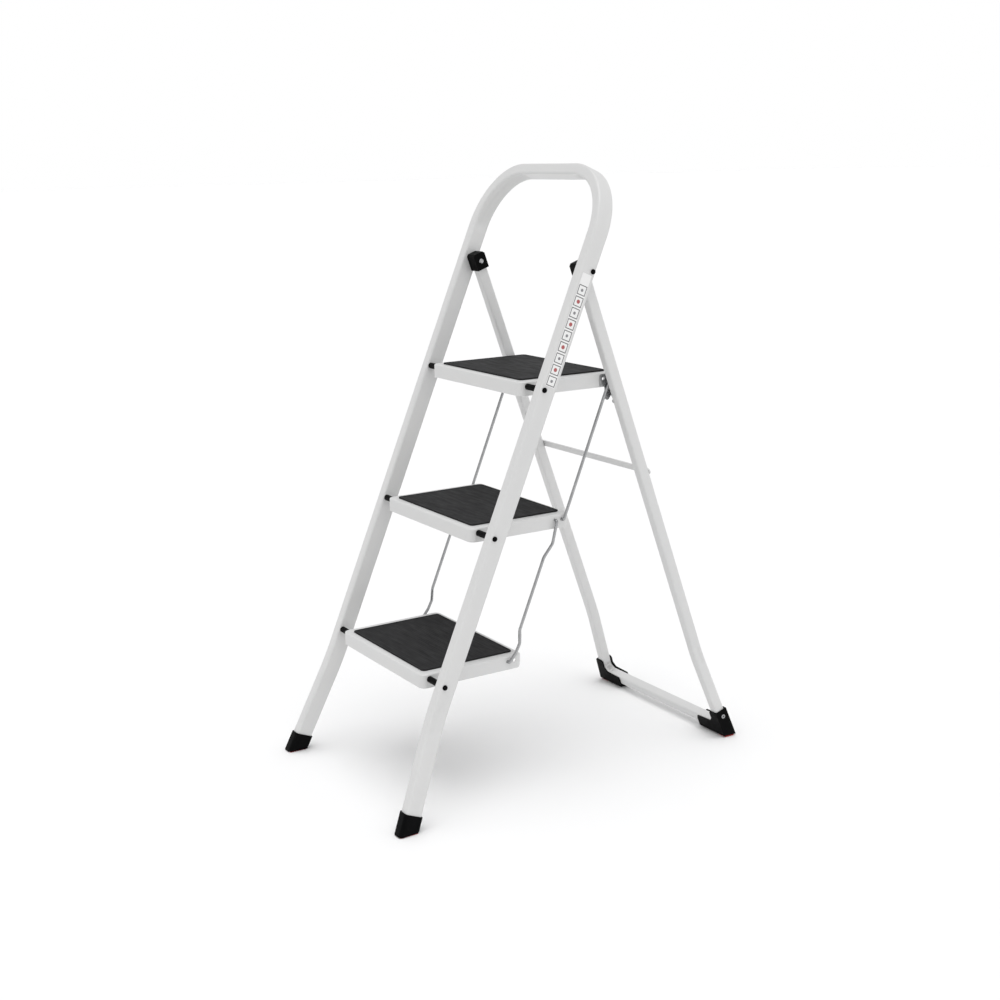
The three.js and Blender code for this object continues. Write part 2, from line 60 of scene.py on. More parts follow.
# ---- camera ----------------------------------------------------------------------------------------------------------
AZ, EL, ROLL = rad(58.061), rad(13.158), rad(-1.095)
right = Vector((math.cos(AZ), math.sin(AZ), 0))
back = Vector((math.sin(AZ) * math.cos(EL), -math.cos(AZ) * math.cos(EL), math.sin(EL)))
up = back.cross(right)
r2 = right * math.cos(ROLL) + up * math.sin(ROLL)
u2 = up * math.cos(ROLL) - right * math.sin(ROLL)
cam = bpy.data.objects.new("camera", bpy.data.cameras.new("camera"))
bpy.context.scene.collection.objects.link(cam)
cam.data.sensor_width, cam.data.lens = 36.0, 53.32
cam.data.clip_start, cam.data.clip_end = 0.05, 200
cam.data.shift_x = -0.0009
cam.matrix_world = Matrix(((r2.x, u2.x, back.x, 2.2336), (r2.y, u2.y, back.y, -1.4142), (r2.z, u2.z, back.z, 1.0970), (0, 0, 0, 1)))
bpy.context.scene.camera = cam

# ---- what the frame says ---------------------------------------------------------------------------------------------
NODES = frame["nodes"]
BODY = {n: o["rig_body"] for n, o in NODES.items()}
SLOT = {s["node"]: s["material_slot"] for s in frame["record"]["subparts"]}

# dimensions in millimetres, as in the CAD source
FRONT_LEAN, REAR_LEAN = rad(23.27), rad(19.5)
STILE_W, STILE_D, STILE_R = 20.0, 32.0, 4.2
FRONT_HALF, PIVOT_BACK, HOOP_TOP, HOOP_R = 201.6, 8.0, 658.0, 110.0
FRONT_SPLAY, FRONT_SPLAY_AT, FRONT_SPLAY_R = rad(8.2), -318.0, 400.0
HINGE_S, HINGE_N = 475.3, 17.0
LEG_W, LEG_D, LEG_R, LEG_X = 18.0, 20.0, 3.4, 168.5
REAR_SPLAY, REAR_SPLAY_AT, REAR_SPLAY_R = rad(7.2), 783.0, 300.0
BAR_AT, REAR_CORNER_R = 935.0, 20.0
BRACE_AT, BRACE_H, BRACE_T, BRACE_HALF = 390.0, 12.0, 3.0, 176.5
PIN_AT, PIN_D = 235.4, 8.0
TRAY = (-150.0, 150.0, -15.0, 188.0)
TRAY_TOP, TRAY_BOTTOM, TRAY_CORNER, TRAY_WALL, TRAY_REAR_FLANGE = 8.5, -16.0, 12.0, 1.4, -7.0
MAT = (-132.5, 132.5, -3.0, 178.0)
MAT_T, MAT_CORNER = 2.5, 7.0
TIE_REAR, TIE_FRONT, TIE_D, TIE_X = (171.0, -1.0), (157.0, -1.0), 5.4, 156.0
GAP, FLOOR, PITCH = 0.3, -472.2, 240.0
STILE_X, HOOP_S, TUBE_N = FRONT_HALF - STILE_W / 2, HOOP_TOP - STILE_W / 2, STILE_D / 2 - PIVOT_BACK

BASE = Matrix.Translation((0, -0.1614, 0.4722))
FRONT = BASE @ Matrix.Rotation(-FRONT_LEAN, 4, "X")
HINGE = Matrix.Rotation(-FRONT_LEAN, 3, "X") @ Vector((0, HINGE_N, HINGE_S))
REAR = BASE @ Matrix.Translation(HINGE * 0.001) @ Matrix.Rotation(REAR_LEAN, 4, "X")
PIVOTS = {"top": (PITCH * math.tan(FRONT_LEAN), PITCH), "middle": (0.0, 0.0), "bottom": (-PITCH * math.tan(FRONT_LEAN), -PITCH)}
PIN = HINGE + Matrix.Rotation(REAR_LEAN, 3, "X") @ Vector((0, 0, -PIN_AT))


# ---- materials -------------------------------------------------------------------------------------------------------
class Nodes:
    """A material's node tree, with short ways to add and join nodes."""

    def __init__(self, name, base, roughness, metallic=0.0, **sockets):
        self.mat = bpy.data.materials.new(name)
        self.mat.use_nodes = True
        self.tree = self.mat.node_tree
        self.shader = next(n for n in self.tree.nodes if n.type == "BSDF_PRINCIPLED")
        self.shader.inputs["Base Color"].default_value = (*base, 1)
        self.shader.inputs["Roughness"].default_value = roughness
        self.shader.inputs["Metallic"].default_value = metallic
        for k, v in sockets.items():
            self.shader.inputs[k.replace("_", " ")].default_value = v
        self.coord = self.add("ShaderNodeTexCoord")

    def add(self, kind, **values):
        n = self.tree.nodes.new(kind)
        for k, v in values.items():
            if hasattr(n, k):
                setattr(n, k, v)
            else:
                n.inputs[k].default_value = v
        return n

    def link(self, a, b):
        self.tree.links.new(a, b)

    def math(self, op, a, b=None, c=None):
        n = self.add("ShaderNodeMath", operation=op)
        for i, v in enumerate((a, b, c)):
            if v is None:
                continue
            if isinstance(v, (int, float)):
                n.inputs[i].default_value = v
            else:
                self.link(v, n.inputs[i])
        return n.outputs[0]

    def noise(self, scale, detail=3.0, stretch=(1, 1, 1), rough=0.5):
        m = self.add("ShaderNodeMapping")
        m.inputs["Scale"].default_value = stretch
        self.link(self.coord.outputs["Object"], m.inputs["Vector"])
        n = self.add("ShaderNodeTexNoise")
        n.inputs["Scale"].default_value, n.inputs["Detail"].default_value, n.inputs["Roughness"].default_value = scale, detail, rough
        self.link(m.outputs[0], n.inputs["Vector"])
        return n.outputs["Fac"]

    def ramp(self, fac, low, high, a, b):
        """Maps fac from low..high to the colours a..b."""
        n = self.add("ShaderNodeValToRGB")
        e = n.color_ramp.elements
        e[0].position, e[1].position = low, high
        e[0].color = (a, a, a, 1) if isinstance(a, float) else (*a, 1)
        e[1].color = (b, b, b, 1) if isinstance(b, float) else (*b, 1)
        self.link(fac, n.inputs["Fac"])
        return n.outputs["Color"]

    def paint(self, fac, low, high, a, b):
        self.link(self.ramp(fac, low, high, a, b), self.shader.inputs["Base Color"])

    def rough(self, fac, low, high, a, b):
        self.link(self.ramp(fac, low, high, float(a), float(b)), self.shader.inputs["Roughness"])

    def bump(self, *layers):
        """layers of (height, strength, distance in metres), one on the other"""
        last = None
        for height, strength, distance in layers:
            n = self.add("ShaderNodeBump")
            n.inputs["Strength"].default_value, n.inputs["Distance"].default_value = strength, distance
            self.link(height, n.inputs["Height"])
            if last is not None:
                self.link(last, n.inputs["Normal"])
            last = n.outputs[0]
        self.link(last, self.shader.inputs["Normal"])


def white_paint():
    m = Nodes("white_powder_coat", (0.66, 0.66, 0.655), 0.36, Specular_IOR_Level=0.4)
    m.paint(m.noise(7, 2), 0.3, 0.7, (0.652, 0.654, 0.652), (0.668, 0.667, 0.661))
    m.rough(m.noise(12, 2), 0.3, 0.7, 0.34, 0.38)
    m.bump((m.noise(700, 1), 0.02, 0.00002))
    return m.mat


def black_plastic():
    m = Nodes("black_moulded_plastic", (0.0018, 0.0018, 0.002), 0.5, Specular_IOR_Level=0.05)
    m.paint(m.noise(90, 3), 0.3, 0.7, (0.0014, 0.0014, 0.0016), (0.0024, 0.0024, 0.0026))
    m.rough(m.noise(120, 2), 0.3, 0.7, 0.44, 0.56)
    m.bump((m.noise(1900, 2), 0.25, 0.0001))
    return m.mat


def mat_rubber():
    m = Nodes("charcoal_mat_rubber", (0.014, 0.014, 0.0145), 0.66, Specular_IOR_Level=0.12)
    streak = m.noise(260, 5, (0.06, 1, 1), 0.62)
    m.paint(streak, 0.32, 0.68, (0.009, 0.009, 0.0095), (0.020, 0.020, 0.021))
    m.rough(m.noise(150, 3, (0.2, 1, 1)), 0.3, 0.7, 0.58, 0.74)
    wave = m.add("ShaderNodeTexWave", wave_type="BANDS", bands_direction="Y")
    wave.inputs["Scale"].default_value = 62.0
    wave.inputs["Distortion"].default_value = 0.0
    m.link(m.coord.outputs["Object"], wave.inputs["Vector"])
    m.bump((wave.outputs["Fac"], 0.4, 0.0003), (streak, 0.3, 0.0002))
    return m.mat


def sole_rubber():
    m = Nodes("red_sole_rubber", (0.36, 0.015, 0.012), 0.6)
    m.paint(m.noise(160, 4), 0.3, 0.7, (0.30, 0.011, 0.009), (0.42, 0.020, 0.015))
    m.rough(m.noise(300, 3), 0.3, 0.7, 0.52, 0.7)
    m.bump((m.noise(1500, 3), 0.4, 0.00015))
    return m.mat


def zinc_steel():
    m = Nodes("bright_zinc_steel", (0.38, 0.385, 0.39), 0.26, 1.0)
    m.paint(m.noise(45, 2), 0.3, 0.7, (0.35, 0.355, 0.36), (0.42, 0.423, 0.428))
    m.rough(m.noise(90, 2), 0.3, 0.7, 0.23, 0.31)
    m.bump((m.noise(900, 1), 0.05, 0.00003))
    return m.mat


def label_film():
    """A strip of plain outlined squares. U and V count cells of 20 mm."""
    m = Nodes("label_film", (0.83, 0.83, 0.825), 0.34)
    uv = m.add("ShaderNodeSeparateXYZ")
    m.link(m.coord.outputs["UV"], uv.inputs[0])
    u = m.math("SUBTRACT", uv.outputs["X"], 0.475)
    cell = m.math("FLOOR", uv.outputs["Y"])
    v = m.math("SUBTRACT", m.math("FRACT", uv.outputs["Y"]), 0.5)
    edge = m.math("MAXIMUM", m.math("ABSOLUTE", u), m.math("ABSOLUTE", v))
    used = m.math("LESS_THAN", uv.outputs["Y"], 9.0)
    line = m.math("MULTIPLY", m.math("LESS_THAN", m.math("ABSOLUTE", m.math("SUBTRACT", edge, 0.39)), 0.034), used)
    r = m.math("SQRT", m.math("ADD", m.math("MULTIPLY", u, u), m.math("MULTIPLY", v, v)))
    odd = m.math("GREATER_THAN", m.math("MODULO", m.math("ADD", cell, 0.5), 2.0), 1.0)
    dot = m.math("MULTIPLY", m.math("LESS_THAN", r, 0.13), used)
    ring = m.math("MULTIPLY", m.math("LESS_THAN", r, 0.17), m.math("MULTIPLY", odd, used))
    last = (0.83, 0.83, 0.825, 1)
    for mask, colour in ((line, (0.05, 0.05, 0.055, 1)), (dot, (0.22, 0.22, 0.23, 1)), (ring, (0.40, 0.09, 0.09, 1))):
        mix = m.add("ShaderNodeMix", data_type="RGBA")
        if isinstance(last, tuple):
            mix.inputs[6].default_value = last
        else:
            m.link(last, mix.inputs[6])
        mix.inputs[7].default_value = colour
        m.link(mask, mix.inputs[0])
        last = mix.outputs[2]
    m.link(last, m.shader.inputs["Base Color"])
    m.rough(m.noise(120, 3), 0.3, 0.7, 0.3, 0.4)
    m.bump((m.noise(60, 3), 0.1, 0.0002))
    return m.mat


MATERIALS = {"white_paint": white_paint(), "black_plastic": black_plastic(), "mat_rubber": mat_rubber(), "sole_rubber": sole_rubber(), "zinc_steel": zinc_steel(), "label": label_film()}


# ---- mesh helpers ----------------------------------------------------------------------------------------------------
def new_object(name, bm, sharp=32.0):
    bmesh.ops.remove_doubles(bm, verts=bm.verts, dist=1e-7)
    bmesh.ops.recalc_face_normals(bm, faces=bm.faces)
    mesh = bpy.data.meshes.new(name)
    bm.to_mesh(mesh)
    bm.free()
    mesh.shade_smooth()
    mesh.set_sharp_from_angle(angle=rad(sharp))
    o = bpy.data.objects.new(name, mesh)
    bpy.context.scene.collection.objects.link(o)
    return o


def build(name, verts, faces, place, sharp=32.0):
    bm = bmesh.new()
    vs = [bm.verts.new(place @ (Vector(v) * 0.001)) for v in verts]
    for f in faces:
        bm.faces.new([vs[i] for i in f])
    return new_object(name, bm, sharp)


def rings_to_faces(count, n):
    faces = [(i * n + j, i * n + (j + 1) % n, (i + 1) * n + (j + 1) % n, (i + 1) * n + j) for i in range(count - 1) for j in range(n)]
    return faces + [tuple(reversed(range(n))), tuple((count - 1) * n + j for j in range(n))]


def skin(name, rings, place, sharp=32.0):
    return build(name, [p for r in rings for p in r], rings_to_faces(len(rings), len(rings[0])), place, sharp)


def lathe(name, profile, place, sides=40, sharp=32.0):
    """A turned piece along local X, from [along X, radius] points. It closes on the axis, or as a ring when its ends stand off it."""
    ring = profile[0][1] > 0 and profile[-1][1] > 0
    verts, rows = [], []
    for x, r in profile:
        if r <= 0:
            rows.append([len(verts)] * sides)
            verts.append((x, 0, 0))
        else:
            rows.append([len(verts) + j for j in range(sides)])
            verts += [(x, r * math.cos(2 * math.pi * j / sides), r * math.sin(2 * math.pi * j / sides)) for j in range(sides)]
    pairs = list(zip(rows, rows[1:])) + ([(rows[-1], rows[0])] if ring else [])
    faces = []
    for a, b in pairs:
        for j in range(sides):
            f = list(dict.fromkeys((a[j], a[(j + 1) % sides], b[(j + 1) % sides], b[j])))
            if len(f) > 2:
                faces.append(tuple(f))
    return build(name, verts, faces, place, sharp)


def rounded_rect(x0, x1, y0, y1, r, k=8, flats=1):
    """Points round a rectangle with rounded corners; each flat is cut into this many lengths."""
    out = []
    corners = [(x1 - r, y1 - r, 0), (x0 + r, y1 - r, 90), (x0 + r, y0 + r, 180), (x1 - r, y0 + r, 270)]
    for i, (cx, cy, a0) in enumerate(corners):
        out += [(cx + r * math.cos(rad(a0 + 90 * j / k)), cy + r * math.sin(rad(a0 + 90 * j / k))) for j in range(k + 1)]
        nx, ny, na = corners[(i + 1) % 4]
        a, b = out[-1], (nx + r * math.cos(rad(na)), ny + r * math.sin(rad(na)))
        out += [(a[0] + (b[0] - a[0]) * t / flats, a[1] + (b[1] - a[1]) * t / flats) for t in range(1, flats)]
    return out


def smooth(t):
    t = min(1.0, max(0.0, t))
    return t * t * (3 - 2 * t)


def line(p, q, n):
    return [(p[0] + (q[0] - p[0]) * i / n, p[1] + (q[1] - p[1]) * i / n) for i in range(n)]


def arc(cx, cz, r, a0, a1, n):
    return [(cx + r * math.cos(a0 + (a1 - a0) * i / n), cz + r * math.sin(a0 + (a1 - a0) * i / n)) for i in range(n + 1)]


def thin(points):
    out = [points[0]]
    for p in points[1:]:
        if math.dist(p, out[-1]) > 0.05:
            out.append(p)
    return out


def tube(name, path, width, depth, corner, deep, dents, place):
    """A rectangular tube along a path of (x, z) points with its outer side on the left of the path's inner side.
    dents are (start, end, fade, side, amount, ripple): over that length of the path, the face on that side is drawn in."""
    pts = [Vector((x, 0, z)) for x, z in thin(path)]
    length = [0.0]
    for a, b in zip(pts, pts[1:]):
        length.append(length[-1] + (b - a).length)
    section = rounded_rect(-width / 2, width / 2, -depth / 2, depth / 2, corner, 6, 10)
    flat = depth / 2 - corner * 0.35
    rings = []
    for i, p in enumerate(pts):
        t = (pts[min(i + 1, len(pts) - 1)] - pts[max(i - 1, 0)]).normalized()
        out = Vector((0, 1, 0)).cross(t)
        ring = []
        for u, v in section:
            shift = 0.0
            for start, end, fade, side, amount, ripple in dents:
                w = smooth((length[i] - start + fade) / (2 * fade)) * smooth((end + fade - length[i]) / (2 * fade))
                if w > 0 and u * side > width / 2 - corner * 0.4 and abs(v) < flat:
                    wave = 1 + ripple * math.cos(4 * math.pi * (length[i] - start) / (end - start))
                    shift -= side * amount * w * wave * math.cos(math.pi / 2 * v / flat) ** 2
            ring.append(p + out * (u + shift) + Vector((0, deep + v, 0)))
        rings.append(ring)
    return skin(name, rings, place, 50)


def mirrored(o, name):
    bm = bmesh.new()
    bm.from_mesh(o.data)
    for v in bm.verts:
        v.co.x = -v.co.x
    bmesh.ops.reverse_faces(bm, faces=bm.faces)
    n = new_object(name, bm)
    n.data.set_sharp_from_angle(angle=rad(32))
    return n


def cut(o, *cutters):
    """Takes the cutters out of o, and removes them."""
    for c in cutters:
        m = o.modifiers.new("cut", "BOOLEAN")
        m.operation, m.object, m.solver = "DIFFERENCE", c, "EXACT"
    dg = bpy.context.evaluated_depsgraph_get()
    mesh = bpy.data.meshes.new_from_object(o.evaluated_get(dg))
    o.modifiers.clear()
    o.data = mesh
    for c in cutters:
        bpy.data.objects.remove(c)
    mesh.shade_smooth()
    mesh.set_sharp_from_angle(angle=rad(32))
    return o


def bevelled(o, width_mm, segments=2, angle=30.0):
    bm = bmesh.new()
    bm.from_mesh(o.data)
    bmesh.ops.remove_doubles(bm, verts=bm.verts, dist=3e-6)
    bmesh.ops.dissolve_limit(bm, angle_limit=rad(1.0), verts=bm.verts, edges=bm.edges)
    edges = [e for e in bm.edges if e.is_manifold and e.calc_face_angle(0) > rad(angle)]
    bmesh.ops.bevel(bm, geom=edges, offset=width_mm * 0.001, segments=segments, profile=0.5, affect="EDGES", clamp_overlap=True)
    bmesh.ops.remove_doubles(bm, verts=bm.verts, dist=1.5e-5)
    bmesh.ops.dissolve_degenerate(bm, edges=bm.edges, dist=1.5e-5)
    bm.to_mesh(o.data)
    bm.free()
    o.data.shade_smooth()
    o.data.set_sharp_from_angle(angle=rad(40))
    return o


def refined(node, width_mm, segments=2, angle=30.0):
    """A copy of a CAD node's own shape, with its triangles joined and its edges rounded."""
    bm = bmesh.new()
    bm.from_mesh(NODES[node].data)
    return bevelled(new_object(node + "_fine", bm), width_mm, segments, angle)


def weighted(o):
    m = o.modifiers.new("normals", "WEIGHTED_NORMAL")
    m.keep_sharp = True
    return o


def stand_for(o, node):
    o.data.materials.clear()
    o.data.materials.append(MATERIALS[SLOT[node]])
    weighted(o)
    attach(o, BODY[node])
    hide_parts(node)
    return o


def both(make, node):
    """Makes the right piece, and its mirror image on the left."""
    o = make(node + "_right_fine")
    left = mirrored(o, node + "_left_fine")
    stand_for(o, node + "_right")
    stand_for(left, node + "_left")


def at(x, y, z, base=BASE):
    return base @ Matrix.Translation(Vector((x, y, z)) * 0.001)


# ---- front frame -----------------------------------------------------------------------------------------------------
half = FRONT_SPLAY_R * FRONT_SPLAY / 2
top = FRONT_SPLAY_AT + half
low = (STILE_X + (500 + FRONT_SPLAY_AT) * math.tan(FRONT_SPLAY), -500.0)
splay = [(STILE_X + FRONT_SPLAY_R - FRONT_SPLAY_R * math.cos(a), top - FRONT_SPLAY_R * math.sin(a)) for a in (FRONT_SPLAY * (1 - i / 24) for i in range(25))]
near = (splay[0][0] + 20 * math.sin(FRONT_SPLAY), splay[0][1] - 20 * math.cos(FRONT_SPLAY))
hoop = arc(STILE_X - HOOP_R, HOOP_S - HOOP_R, HOOP_R, 0, math.pi / 2, 48)
side = line(low, near, 6) + line(near, splay[0], 8) + splay
l0 = sum(math.dist(a, b) for a, b in zip(thin(side), thin(side)[1:]))
side += line(splay[-1], (STILE_X, top + 24), 8) + line((STILE_X, top + 24), (STILE_X, HOOP_S - HOOP_R - 30), 30)
side += line((STILE_X, HOOP_S - HOOP_R - 30), hoop[0], 10) + hoop
l1 = sum(math.dist(a, b) for a, b in zip(thin(side), thin(side)[1:]))
across = line(hoop[-1], (hoop[-1][0] - 30, hoop[-1][1]), 10) + line((hoop[-1][0] - 30, hoop[-1][1]), (0, hoop[-1][1]), 4)
side += across + [(0.0, HOOP_S)]
whole = thin(side + [(-x, z) for x, z in reversed(side)])
total = sum(math.dist(a, b) for a, b in zip(whole, whole[1:]))
bend = FRONT_SPLAY_R * FRONT_SPLAY
dents = []
for a, b, fade, s, amount in ((l0 - bend, l0, 12, 1, 2.6), (l1 - HOOP_R * math.pi / 2, l1, 14, -1, 5.0)):
    dents += [(a, b, fade, s, amount, 0.0), (total - b, total - a, fade, s, amount, 0.0)]
stand_for(tube("front_frame_tube_fine", whole, STILE_W, STILE_D, STILE_R, TUBE_N, dents, FRONT), "front_frame_tube")


def leg_ring(s, grow, r, k=8):
    cx = STILE_X + (FRONT_SPLAY_AT - s) * math.tan(FRONT_SPLAY)
    w, d = STILE_W / 2 + grow, STILE_D / 2 + grow
    return [Vector((cx + u, TUBE_N + v, s)) for u, v in rounded_rect(-w, w, -d, d, r, k, 1)]


def boot(name):
    axis = Vector((-math.tan(FRONT_SPLAY), 0, 1)).normalized()
    turn = Matrix.Rotation(-FRONT_LEAN, 3, "X")

    def level(ring, height):
        out = []
        for p in ring:
            w, d = turn @ p, turn @ axis
            out.append(p + axis * ((height - w.z) / d.z))
        return out

    full, r = 2.35, STILE_R + 2.2
    rings = [level(leg_ring(-490, full - 0.8, r - 0.8), FLOOR + 1.4), level(leg_ring(-490, full - 0.25, r - 0.25), FLOOR + 1.6), level(leg_ring(-490, full, r), FLOOR + 2.3)]
    rings += [leg_ring(s, full, r) for s in (-494, -487, -478.2)]
    rings += [leg_ring(-477.5, full - 0.15, r - 0.15), leg_ring(-477.1, full - 0.5, r - 0.5), leg_ring(-477, full - 0.9, r - 0.9)]
    rings += [leg_ring(-477, 0.6, STILE_R + 0.6), leg_ring(-477.4, 0.3, STILE_R + 0.3), leg_ring(-492, 0.3, STILE_R + 0.3)]
    return skin(name, rings, FRONT, 45)


both(boot, "front_foot")
for s in ("left", "right"):
    stand_for(refined("front_sole_" + s, 0.2), "front_sole_" + s)

for step, (y, z) in PIVOTS.items():
    e = FRONT_HALF + 1.2
    stand_for(lathe("pivot_rod_" + step + "_fine", [(-e, 0), (-e, 2.6), (-e + 0.4, 3), (e - 0.4, 3), (e, 2.6), (e, 0)], at(0, y, z)), "pivot_rod_" + step)
    a, b = TRAY[1] + GAP, FRONT_HALF - STILE_W - GAP
    both(lambda n: lathe(n, [(a, 3.3), (a, 4.9), (a + 0.2, 5.3), (a + 0.6, 5.5), (b - 0.6, 5.5), (b - 0.2, 5.3), (b, 4.9), (b, 3.3)], at(0, y, z)), "spacer_" + step)
    c = FRONT_HALF + GAP
    both(lambda n: lathe(n, [(c, 3.2), (c, 4.3), (c + 0.2, 4.5), (c + 1.2, 4.5), (c + 1.7, 4.35), (c + 2.3, 3.9), (c + 2.8, 3.1), (c + 3.1, 2.1), (c + 3.1, 1.5), (c + 2.8, 1.1), (c + 2.7, 0), (c + 1.3, 0), (c + 1.3, 3.2)], at(0, y, z)), "rod_cap_" + step)

CAP_IN = LEG_X - 13
c, e = CAP_IN - GAP, FRONT_HALF + 1.2
both(lambda n: lathe(n, [(c - 2.1, 0), (c - 2.05, 1.0), (c - 1.8, 2.4), (c - 1.3, 3.7), (c - 0.7, 4.4), (c - 0.2, 4.6), (c, 4.5), (c, 3), (e - 0.4, 3), (e, 2.6), (e, 0)], at(0, HINGE.y, HINGE.z)), "hinge_bolt")
c = FRONT_HALF + GAP
both(lambda n: lathe(n, [(c, 3.2), (c, 4.2), (c + 0.2, 4.4), (c + 1.2, 4.4), (c + 1.8, 4.2), (c + 2.4, 3.6), (c + 2.9, 2.6), (c + 3.2, 1.3), (c + 3.3, 0), (c + 1.3, 0), (c + 1.3, 3.2)], at(0, HINGE.y, HINGE.z)), "hinge_cap")


def label(name):
    x0, x1, n0, n1, s0, s1 = FRONT_HALF + 0.1, FRONT_HALF + 0.4, -1.5, 17.5, 269.5, 468.0
    outline = rounded_rect(n0, n1, s0, s1, 1.6, 6)
    o = skin(name, [[Vector((x, n, s)) for n, s in outline] for x in (x0, x1)], FRONT)
    inverse = FRONT.inverted()
    layer = o.data.uv_layers.new(name="label")
    for loop in o.data.loops:
        p = (inverse @ o.data.vertices[loop.vertex_index].co) * 1000
        layer.data[loop.index].uv = ((p.y - n0) / 20, (p.z - s0) / 20)
    return o


stand_for(label("label_strip_fine"), "label_strip")


# ---- steps -----------------------------------------------------------------------------------------------------------
def shell(name, box, corner, profile, place):
    rings = []
    for off, z in profile:
        rings.append([Vector((x, y, z)) for x, y in rounded_rect(box[0] + off, box[1] - off, box[2] + off, box[3] - off, max(corner - off, 0.5), 12)])
    return skin(name, rings, place, 38)


def cylinder(y, z, r, x0=-200.0, x1=200.0, sides=32):
    return lathe("cutter", [(x0, 0), (x0, r), (x1, r), (x1, 0)], at(0, y, z, Matrix.Identity(4)), sides)


def plate(name, outline, x0, x1, place):
    """A flat plate from a (y, z) outline between two x values."""
    return skin(name, [[Vector((x, y, z)) for y, z in outline] for x in (x0, x1)], place, 25)


w = TRAY_WALL
profile = [(3.0, TRAY_TOP)] + [(3 - 3 * math.sin(rad(a)), TRAY_TOP - 3 + 3 * math.cos(rad(a))) for a in (11, 22, 33, 45, 56, 67, 79, 90)]
profile += [(0, TRAY_BOTTOM + 0.5), (0.15, TRAY_BOTTOM + 0.15), (0.5, TRAY_BOTTOM), (w - 0.5, TRAY_BOTTOM), (w - 0.15, TRAY_BOTTOM + 0.15), (w, TRAY_BOTTOM + 0.5)]
profile += [(w, TRAY_TOP - w - 1.6)] + [(w + 1.6 - 1.6 * math.cos(rad(a)), TRAY_TOP - w - 1.6 + 1.6 * math.sin(rad(a))) for a in (22, 45, 67, 90)]
tray_mesh = shell("tray", TRAY, TRAY_CORNER, profile, Matrix.Identity(4))
rc = 8.0
corner_cut = [(TRAY[3] + 20, TRAY_BOTTOM - 5), (TRAY[3] + 20, TRAY_REAR_FLANGE), (TRAY[3] - 4, TRAY_REAR_FLANGE)]
corner_cut += [(TRAY[3] - 4 - rc + rc * math.cos(a), TRAY_BOTTOM + rc + rc * math.sin(a)) for a in (-math.pi / 2 * i / 14 for i in range(15))]
corner_cut += [(TRAY[3] - 4 - rc, TRAY_BOTTOM - 5)]
cut(tray_mesh, plate("cutter", corner_cut, -200, 200, Matrix.Identity(4)), cylinder(0, 0, 3.3), cylinder(*TIE_REAR, 3.0), cylinder(*TIE_FRONT, 3.0))
z0 = TRAY_TOP + 0.1
mat_profile = [(0.3, z0), (0, z0 + 0.3), (0, z0 + 1.9), (0.12, z0 + 2.25), (0.4, z0 + 2.45), (0.8, z0 + MAT_T), (2.1, z0 + MAT_T), (2.5, z0 + 2.4), (2.8, z0 + 2.1), (3.2, z0 + 2.0)]

for step, (y, z) in PIVOTS.items():
    place = at(0, y, z)
    for node, mesh in ((step + "_step_tray", tray_mesh), (step + "_step_mat", None)):
        if mesh is None:
            o = shell(node + "_fine", MAT, MAT_CORNER, mat_profile, place)
        else:
            o = bpy.data.objects.new(node + "_fine", mesh.data.copy())
            o.data.transform(place)
            bpy.context.scene.collection.objects.link(o)
        stand_for(o, node)
bpy.data.objects.remove(tray_mesh)


def hook(name):
    ty, tz = PIVOTS["top"]
    py, pz = PIN.y - ty, PIN.z - tz
    d, n, sr = (-0.608, -0.794), (-0.794, 0.608), PIN_D / 2 + 0.6
    slot = lambda along, across: (py + d[0] * along + n[0] * across, pz + d[1] * along + n[1] * across)
    o = [(150, -14), (150, 4), (150.9, 6.1), (153, 7), (184, 7), (187.5, 5.6), (189.6, 3), (190.2, 0), (192.5, -28), (192.5, -32), (191, -36.4), slot(10, -sr - 7), slot(11, -sr - 5.2), slot(11.2, -sr - 3.6), slot(10.4, -sr - 1.4), slot(8.5, -sr)]
    o += [slot(-sr * math.cos(a), sr * math.sin(a)) for a in (-math.pi / 2 + math.pi * i / 20 for i in range(21))]
    o += [slot(8.3, sr)]
    o += [(165.3 + 5 * math.cos(a), -34.2 + 5 * math.sin(a)) for a in (-math.pi / 6 - math.pi * 5 / 6 * i / 14 for i in range(15))]
    o += [(160.3, -18), (159.3, -15.6), (157, -14)]
    p = plate(name, o, TRAY[1] + GAP, TRAY[1] + GAP + 2.5, Matrix.Identity(4))
    cut(p, cylinder(*TIE_REAR, TIE_D / 2 + 1, 100, 200), cylinder(*TIE_FRONT, TIE_D / 2 + GAP, 100, 200))
    p.data.transform(at(0, ty, tz))
    return bevelled(p, 0.35, 2, 50)


both(hook, "top_step_hook")


# ---- tie rods --------------------------------------------------------------------------------------------------------
def filleted(points, radius, k=12):
    out = [points[0]]
    for a, p, b in zip(points, points[1:], points[2:]):
        da, db = a - p, b - p
        r = min(radius, da.length * 0.45, db.length * 0.45)
        s, e = p + da.normalized() * r, p + db.normalized() * r
        out += [s * (1 - t) ** 2 + p * 2 * t * (1 - t) + e * t * t for t in (j / k for j in range(k + 1))]
    return out + [points[-1]]


def wire(name, points, dia, place, sides=24):
    rings, u = [], None
    for i, p in enumerate(points):
        t = (points[min(i + 1, len(points) - 1)] - points[max(i - 1, 0)]).normalized()
        u = u or (Vector((0, 1, 0)) if abs(t.y) < 0.9 else Vector((0, 0, 1)))
        u = (u - t * u.dot(t)).normalized()
        v = t.cross(u)
        ring = lambda r, q: [q + u * (r * math.cos(2 * math.pi * j / sides)) + v * (r * math.sin(2 * math.pi * j / sides)) for j in range(sides)]
        if i == 0:
            rings += [ring(dia / 2 - 0.5, p), ring(dia / 2, p + t * 0.5)]
        elif i == len(points) - 1:
            rings += [ring(dia / 2, p - t * 0.5), ring(dia / 2 - 0.5, p)]
        else:
            rings.append(ring(dia / 2, p))
    return skin(name, rings, place, 45)


